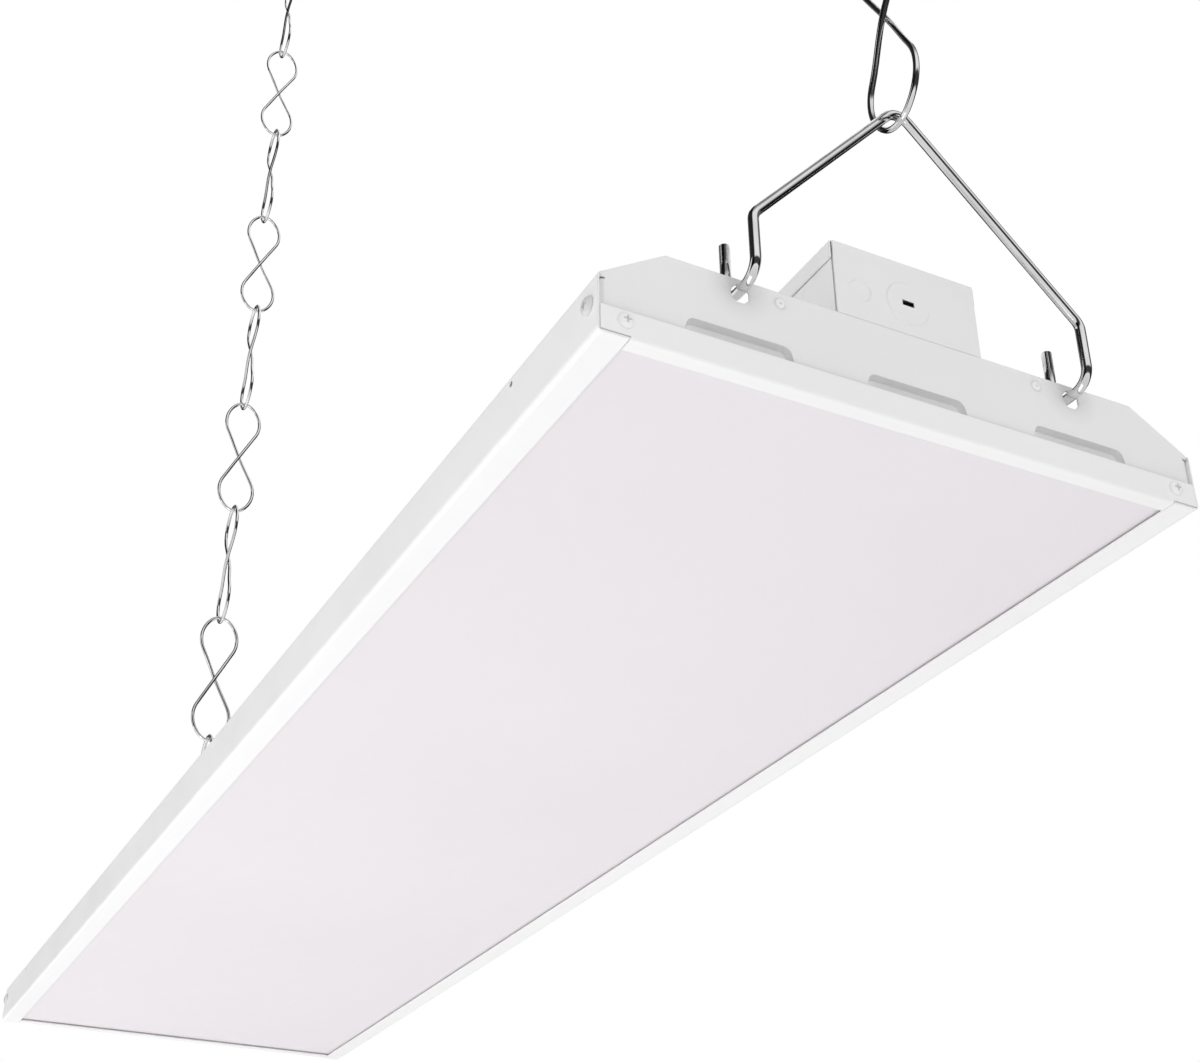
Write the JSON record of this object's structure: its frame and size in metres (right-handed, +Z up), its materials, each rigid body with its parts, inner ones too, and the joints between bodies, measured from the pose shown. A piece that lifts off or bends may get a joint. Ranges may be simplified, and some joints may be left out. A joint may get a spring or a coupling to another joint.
{
  "type": "hanging shop light",
  "caption": "Flat white hanging shop light with a frosted lens, a wireway on top, and a V-hook and wire-link chain at each end.",
  "frame": {"origin": "midway between the two chain tops, where a ceiling hook bears inside each top link", "axes": "+X along the light towards its front end, +Y across it, +Z up along the chains"},
  "size_m": [1.1658, 0.3094, 1.3328],
  "materials": {
    "white_enamel": "smooth gloss white enamel",
    "frosted_lens": "frosted acrylic",
    "zinc_wire": "bright zinc plate",
    "plated_fastener": "plated and white",
    "light_board": "white solder mask",
    "emitter": "phosphor",
    "driver_case": "satin white",
    "terminal_plastic": "nylon",
    "wire_insulation": "pvc",
    "black_rubber": "matt"
  },
  "bodies": {
    "ceiling_links": {"front_chain_link_9": "zinc_wire", "rear_chain_link_9": "zinc_wire"},
    "front_upper_link": {"front_chain_link_8": "zinc_wire"},
    "front_chain": {"front_chain_link_7": "zinc_wire", "front_chain_link_6": "zinc_wire", "front_chain_link_5": "zinc_wire", "front_chain_link_4": "zinc_wire", "front_chain_link_3": "zinc_wire", "front_chain_link_2": "zinc_wire", "front_chain_link_1": "zinc_wire", "front_v_hook": "zinc_wire"},
    "light_body": {"ceiling_pan": "white_enamel", "left_side_rail": "white_enamel", "right_side_rail": "white_enamel", "lens": "frosted_lens", "reflector_tray": "white_enamel", "left_light_board": "light_board", "right_light_board": "light_board", "light_emitters": "emitter", "wireway_channel": "white_enamel", "wireway_cover": "white_enamel", "led_driver": "driver_case", "terminal_block": "terminal_plastic", "supply_wires": "wire_insulation", "lamp_leads": "wire_insulation", "lead_grommet": "black_rubber", "driver_screws": "plated_fastener", "cover_screws": "plated_fastener", "trim_screws": "plated_fastener", "side_screws": "plated_fastener", "rivets": "plated_fastener", "front_end_plate": "white_enamel", "rear_end_plate": "white_enamel", "front_end_trim": "white_enamel", "rear_end_trim": "white_enamel", "front_wireway_closure": "white_enamel", "rear_wireway_closure": "white_enamel"},
    "rear_hook": {"rear_v_hook": "zinc_wire"},
    "rear_upper_link": {"rear_chain_link_8": "zinc_wire"},
    "rear_chain": {"rear_chain_link_7": "zinc_wire", "rear_chain_link_6": "zinc_wire", "rear_chain_link_5": "zinc_wire", "rear_chain_link_4": "zinc_wire", "rear_chain_link_3": "zinc_wire", "rear_chain_link_2": "zinc_wire", "rear_chain_link_1": "zinc_wire"}
  },
  "joints": [
    {"name": "sideways_sway", "type": "hinge", "parent": "ceiling_links", "child": "front_upper_link", "pos_m": [0.56335, 0, -0.1314], "axis": [1, 0, 0], "range_deg": [-45, 45]},
    {"name": "lengthwise_sway", "type": "hinge", "parent": "front_upper_link", "child": "front_chain", "pos_m": [0.56335, 0, -0.2609], "axis": [0, 1, 0], "range_deg": [-30, 30]},
    {"name": "front_hook_swing", "type": "hinge", "parent": "front_chain", "child": "light_body", "pos_m": [0.55545, 0, -1.28522], "axis": [0, 1, 0], "range_deg": [-31, 31]},
    {"name": "rear_hook_swing", "type": "hinge", "parent": "light_body", "child": "rear_hook", "pos_m": [-0.55545, 0, -1.28522], "axis": [0, 1, 0], "range_deg": [-31, 31]},
    {"name": "rear_sideways_sway", "type": "hinge", "parent": "ceiling_links", "child": "rear_upper_link", "pos_m": [-0.56335, 0, -0.1314], "axis": [1, 0, 0], "range_deg": [-45, 45]},
    {"name": "rear_lengthwise_sway", "type": "hinge", "parent": "rear_upper_link", "child": "rear_chain", "pos_m": [-0.56335, 0, -0.2609], "axis": [0, 1, 0], "range_deg": [-30, 30]}
  ],
  "couplings": [
    {"joint": "front_hook_swing", "follows": "lengthwise_sway", "ratio": -1.0152},
    {"joint": "rear_hook_swing", "follows": "lengthwise_sway", "ratio": 1.0152},
    {"joint": "rear_sideways_sway", "follows": "sideways_sway", "ratio": 1},
    {"joint": "rear_lengthwise_sway", "follows": "lengthwise_sway", "ratio": 1}
  ]
}
